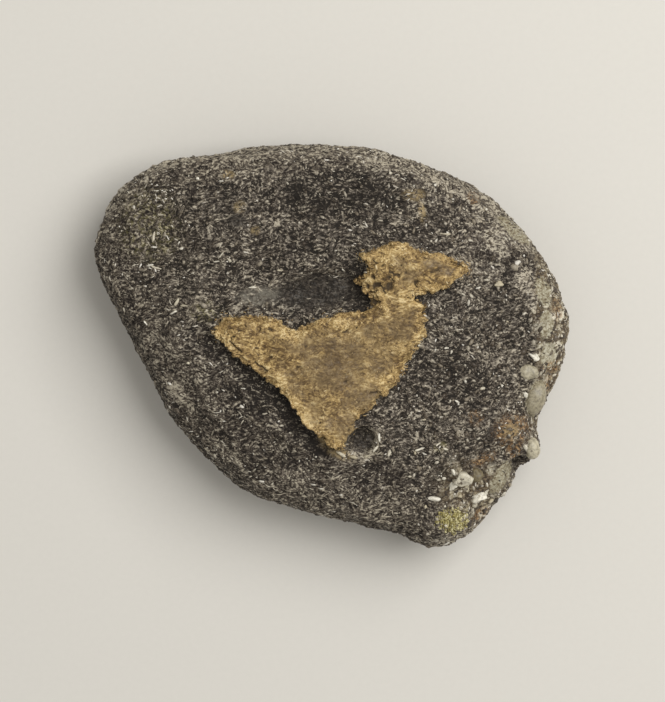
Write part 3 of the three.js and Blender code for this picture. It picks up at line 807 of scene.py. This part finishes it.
class FOSSIL_OT_slab(bpy.types.Operator):
    """Makes the bone with the crust that is cemented on it"""

    bl_idname = "fossil.slab"
    bl_label = "Slab of bone"

    def execute(self, context):
        slab, crust, grit = context.scene.fossil_slab, context.scene.fossil_crust, context.scene.fossil_grit
        mesh = fine_copy(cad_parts[NODE], slab.step)
        places = relaxed(mesh, mesh_places(mesh), 2)
        set_places(mesh, places)
        normals = corner_numbers(mesh, "normal")
        up = normals[:, 2]
        top = up > 0
        shares = {name: np.where(top, spot_share(places, spots), 0) for name, spots in SPOTS.items()}

        # The crust is taken off, and put back with a ragged border, holes and cracks
        distance = crust_distance(places)
        flat, pit, pale_rim = take_off_crust(mesh, places, distance, top)
        covered, cut, foot = ragged_crust(crust, places, flat, distance, top, shares)
        dusting = rise(distance + 0.5 * wavy(flat, 0.8, 51), -0.7, 0.1) * (1 - foot) * top
        inner = rise(distance + 0.6 * wavy(flat, 1.6, 29), 0.4, 1.5) * (1 - shares["broken"])
        clay = np.maximum(shares["clay"], 0.75 * inner * rise(places[:, 0], -6.5, -3))

        gritty, worn = grit_and_wear(places, up, shares)
        worn = np.maximum(worn, pale_rim)
        bone, own_tint = bone_relief(slab, flat, up, foot, pit, gritty, shares)
        sand = crust_relief(crust, flat, distance, clay, cut)
        raised = bone * (1 - covered) + sand * covered
        shaped = flat + normals * (raised[:, None] - slab.inset / MM)
        shaped[:, 2] += CRUST_RAISE * covered
        set_places(mesh, np.clip(shaped, bone_low / MM, bone_high / MM))
        add_values(mesh, {
            "relief": np.clip(raised / 0.12, -1, 1), "worn": worn, "gritty": gritty, "foot": foot,
            "crust": covered, "cut": cut, "clay": clay, "own_tint": own_tint, "dusting": dusting,
            **{name: shares[name] for name in SPOT_VALUES},
        })
        place_piece("slab", mesh, bone_material(slab, crust, grit))
        return {"FINISHED"}


class FOSSIL_OT_fibres(bpy.types.Operator):
    """Strews short strands and specks of woven bone over the slab"""

    bl_idname = "fossil.fibres"
    bl_label = "Fibres and specks"

    def execute(self, context):
        grit = context.scene.fossil_grit
        rng = np.random.default_rng(SEED)
        places, normals, values = finished_slab()
        off_floor = places[:, 2] > 0.25
        # Fewer strands in the band of painted shadow below the crust
        bare = rise(values["crust"], 0.8, 0.2) * (1 - 0.7 * values["foot"]) * off_floor
        calm = np.maximum(values["hollow"], values["smear"])
        gritty = values["gritty"]
        patchy = rise(wavy(places, 2.4, 12), -0.5, 0.5)
        right = rise(places[:, 0], 5, 9)

        bright = spot_share(places, BRIGHT) * (normals[:, 2] > 0.3)
        weight = bare * (1 - 0.85 * calm) * (1 - 0.7 * gritty) * (0.25 + patchy + 0.5 * bright)
        weight *= (1 - 0.4 * values["shade"]) * (1 - 0.4 * right)
        chosen = pick(rng, weight, grit.fibres)
        # In the upper middle they lie closer to the slab's length
        striped = (places[chosen, 1] > 7) & (np.abs(places[chosen, 0] + 1) < 9)
        spread = np.tile(LEAN, (len(chosen), 1))
        spread[striped, 1] = 0.25
        directions = own_directions(rng, normals[chosen], spread)
        half_sizes = ((0.11, 0.32), (0.04, 0.08), (0.05, 0.08))
        sizes = np.column_stack([rng.uniform(low, high, len(chosen)) for low, high in half_sizes])
        centres = places[chosen] - 0.025 * normals[chosen]
        tints = rng.beta(1.15, 2.1, len(chosen)) * (0.65 + 0.5 * patchy[chosen])
        tints = np.clip(tints + bright[chosen] * rng.uniform(0, 0.6, len(chosen)), 0, 1)
        made = joined_grains(
            "fibres", rng, ball(1), centres, directions, sizes, uneven=0.25, bend=1.2, tints=tints)
        place_piece("fibres", made, grain_material("Woven strands", [
            (0, (36, 29, 21)), (0.3, (74, 64, 52)), (0.5, (128, 117, 100)),
            (0.72, (194, 185, 166)), (1, (238, 232, 218))], 0.45))

        weight = bare * (1 - 0.8 * calm) * (0.55 + 0.6 * right + 0.3 * patchy + 0.8 * gritty)
        weight *= 1 - 0.93 * values["green"]
        chosen = pick(rng, weight, grit.specks)
        size, sizes = own_sizes(
            rng, len(chosen), 0.075, 0.4, (0.04, 0.26), (0.8, 0.5, 0.6), (1.9, 1, 1),
            larger=1 + 0.4 * right[chosen])
        centres = places[chosen] - 0.35 * size[:, None] * normals[chosen]
        directions = own_directions(rng, normals[chosen])
        tints = rng.beta(1, 1.7, len(chosen))
        made = joined_grains("specks", rng, ball(1), centres, directions, sizes, tints=tints)
        place_piece("specks", made, grain_material("Specks", [
            (0, (40, 32, 24)), (0.3, (85, 74, 60)), (0.55, (142, 131, 112)),
            (0.8, (200, 192, 173)), (1, (242, 237, 225))], 0.35))
        return {"FINISHED"}


class FOSSIL_OT_sand(bpy.types.Operator):
    """Sets rounded sand grains in the gritty edge and in the crust"""

    bl_idname = "fossil.sand"
    bl_label = "Sand"

    def execute(self, context):
        grit = context.scene.fossil_grit
        rng = np.random.default_rng(SEED + 1)
        places, normals, values = finished_slab()
        gritty = values["gritty"] * (places[:, 2] > 0.6) * (1 - 0.9 * values["green"])
        gritty *= 1 - 0.5 * values["rust"]
        chosen = pick(rng, gritty ** 1.5 + 0.003 * (places[:, 0] > 6), grit.sand)
        size, sizes = own_sizes(
            rng, len(chosen), 0.12, 0.4, (0.05, 0.32), (0.8, 0.6, 0.5), (1.5, 1.1, 0.8))
        depth = size * (0.75 - 0.3 * normals[chosen, 2])
        centres = places[chosen] - depth[:, None] * normals[chosen]
        directions = own_directions(rng, normals[chosen])
        made = joined_grains("sand", rng, ball(2), centres, directions, sizes, facets=4)
        place_piece("sand", made, grain_material("Quartz sand", [
            (0, (40, 30, 20)), (0.3, (84, 68, 48)), (0.52, (136, 121, 95)),
            (0.75, (174, 162, 136)), (0.92, (214, 206, 183)), (1, (244, 238, 224))], 0.3, clear=0.1))

        on_crust = values["crust"] > 0.6
        beside = values["crust"] < 0.6
        weight = on_crust * (1 - 0.9 * values["clay"]) * rise(wavy(places, 1.1, 21), -0.5, 0.4)
        weight += 1.5 * beside * values["dusting"] ** 2
        chosen = pick(rng, weight, grit.crust_grains)
        size, sizes = own_sizes(
            rng, len(chosen), 0.06, 0.3, (0.035, 0.12), (1.1, 0.6, 0.6), (2.6, 1, 1))
        centres = places[chosen] - 0.5 * size[:, None] * normals[chosen]
        directions = own_directions(rng, normals[chosen], (1, 0.6, 0.1))
        made = joined_grains(
            "crust_sand", rng, ball(1), centres, directions, sizes, uneven=0.25, bend=0.8)
        place_piece("crust_sand", made, grain_material("Golden sand", [
            (0, (86, 64, 36)), (0.25, (126, 101, 60)), (0.6, (162, 133, 83)),
            (0.88, (194, 166, 114)), (1, (220, 198, 152))], 0.45, mottle=0.15))
        return {"FINISHED"}


class FOSSIL_OT_pebbles(bpy.types.Operator):
    """Sets the larger pebbles, the chips, the brightest strands and the yellow crystals in the slab"""

    bl_idname = "fossil.pebbles"
    bl_label = "Pebbles and crystals"

    def execute(self, context):
        grit = context.scene.fossil_grit
        rng = np.random.default_rng(SEED + 2)
        places, normals, _ = finished_slab()
        upright = np.tile((0, 0, 1.0), (len(places), 1))
        milky = grain_material("Milky quartz", [
            (0, (176, 165, 136)), (1, (244, 238, 220))], 0.2, mottle=0.4, clear=0.2, span=0.3)
        self.set_stones("milky_pebbles", MILKY, milky, rng, places, upright, ball(4), facets=14)
        glassy = grain_material("Glassy quartz", [
            (0, (120, 108, 80)), (1, (208, 200, 174))], 0.32, mottle=0.5, clear=0.25, span=0.25)
        self.set_stones("glassy_pebbles", GLASSY, glassy, rng, places, upright, ball(4), facets=0)
        chip = grain_material("Quartz chips", [
            (0, (186, 174, 145)), (1, (242, 236, 219))], 0.3, mottle=0.3, clear=0.1, span=0.2)
        self.set_stones("chips", CHIPS + STRANDS, chip, rng, places, normals, ball(3), facets=12, bed=0.3)

        near = spot_share(places, DRUSE) * (normals[:, 2] > 0)
        chosen = pick(rng, near ** 1.5, grit.crystals)
        sizes = rng.uniform(0.05, 0.12, (len(chosen), 1)) * (0.8, 0.8, 1.7)
        directions = own_directions(rng, unit(normals[chosen] + 0.6 * rng.normal(size=(len(chosen), 3))))
        made = joined_grains("druse", rng, crystal(), places[chosen], directions, sizes, uneven=0)
        yellow = grain_material("Yellow crystals", [
            (0, (102, 90, 48)), (0.5, (172, 160, 98)), (1, (228, 219, 170))], 0.25, mottle=0.2, clear=0.2)
        place_piece("druse", made, yellow, smooth=False)
        return {"FINISHED"}

    def set_stones(self, name, stones, material, rng, places, normals, shape, facets, bed=0.75):
        """Beds each stone in the surface below it by a share of its half height, and tilts it to the normals
        that are given there."""
        centres, sizes, directions, tints = [], [], [], []
        for x, y, half_length, half_width, half_height, turn, *tint in stones:
            x, y = x + SHIFT[0], y + SHIFT[1]
            below = (np.hypot(places[:, 0] - x, places[:, 1] - y) < 0.25) & (places[:, 2] > 2)
            centres.append((x, y, places[below, 2].max() - bed * half_height))
            sizes.append((half_length, half_width, half_height))
            up = Vector(normals[below].mean(0)).normalized()
            angle = math.radians(turn)
            across = up.cross(Vector((math.cos(angle), math.sin(angle), 0))).normalized()
            directions.append([across.cross(up), across, up])
            tints += tint
        mesh = joined_grains(
            name, rng, shape, *map(np.array, (centres, directions, sizes)), uneven=0,
            tints=tints or None, facets=facets, facet_at=(0.55, 0.9))
        corners = mesh_places(mesh)
        lumps = (0.06 if facets else 0.09) * wavy(corners, 0.6) + 0.04 * wavy(corners, 0.25, 3)
        set_places(mesh, corners + corner_numbers(mesh, "normal") * lumps[:, None])
        place_piece(name, mesh, material)


class FOSSIL_OT_stage(bpy.types.Operator):
    """Makes the floor, the lights and the camera"""

    bl_idname = "fossil.stage"
    bl_label = "Stage"

    def execute(self, context):
        scene = context.scene
        stage = scene.fossil_stage
        half = FLOOR_LENGTHS * length
        corners = [(-half, -half, 0), (half, -half, 0), (half, half, 0), (-half, half, 0)]
        mesh = bpy.data.meshes.new("floor")
        mesh.from_pydata(corners, [], [(0, 1, 2, 3)])
        floor = new_object("floor", mesh)
        s = Shader("Pale card")
        fibre = s.noise(0.5, roughness=0.6)
        darker = tuple(0.95 * v for v in stage.floor)
        mesh.materials.append(s.complete(Base_Color=s.mix(fibre, darker, stage.floor), Roughness=0.8))

        aim = Vector((middle.x, middle.y, AIM_HEIGHT * bone_high.z))
        light = bpy.data.lights.new("key light", "AREA")
        light.energy = stage.key_power
        light.size = KEY_WIDTH
        lamp = new_object("key light", light)
        lamp.location = aim + Vector(KEY_PLACE)
        lamp.rotation_euler = (-Vector(KEY_PLACE)).to_track_quat("-Z", "Y").to_euler()
        world = bpy.data.worlds.new("sky")
        world.use_nodes = True
        background = world.node_tree.nodes["Background"]
        background.inputs["Color"].default_value = SKY_COLOUR
        background.inputs["Strength"].default_value = stage.sky_strength
        scene.world = world

        lens = bpy.data.cameras.new("camera")
        lens.lens = stage.lens
        lens.clip_start = 10 * MM
        camera = new_object("camera", lens)
        camera.location = Vector(stage.camera_place) + Vector((middle.x, middle.y, 0))
        back = (camera.location - aim).normalized()
        right = Vector((0, 1, 0)).cross(back).normalized()
        camera.rotation_euler = Matrix((right, back.cross(right), back)).transposed().to_euler()
        scene.camera = camera
        scene.view_settings.view_transform = "Standard"
        return {"FINISHED"}


class FOSSIL_PT_panel(bpy.types.Panel):
    """Lists the pieces in the order in which they are made"""

    bl_label = "Fossil turtle bone"
    bl_space_type = "VIEW_3D"
    bl_region_type = "UI"
    bl_category = "Fossil"

    def draw(self, context):
        for operator in OPERATORS:
            self.layout.operator(operator.bl_idname)
        for name in SETTINGS:
            group = getattr(context.scene, name)
            box = self.layout.box()
            for key in group.__annotations__:
                box.prop(group, key)


SETTINGS = {
    "fossil_slab": SlabSettings,
    "fossil_crust": CrustSettings,
    "fossil_grit": GritSettings,
    "fossil_stage": StageSettings,
}
OPERATORS = (FOSSIL_OT_slab, FOSSIL_OT_fibres, FOSSIL_OT_sand, FOSSIL_OT_pebbles, FOSSIL_OT_stage)


def register():
    for group in (*SETTINGS.values(), *OPERATORS, FOSSIL_PT_panel):
        bpy.utils.register_class(group)
    for name, group in SETTINGS.items():
        setattr(bpy.types.Scene, name, PointerProperty(type=group))


def unregister():
    for name in SETTINGS:
        delattr(bpy.types.Scene, name)
    for group in (FOSSIL_PT_panel, *reversed(OPERATORS), *reversed(SETTINGS.values())):
        bpy.utils.unregister_class(group)


def main():
    register()
    bpy.ops.fossil.slab()
    bpy.ops.fossil.fibres()
    bpy.ops.fossil.sand()
    bpy.ops.fossil.pebbles()
    bpy.ops.fossil.stage()


if __name__ == "__main__":
    main()
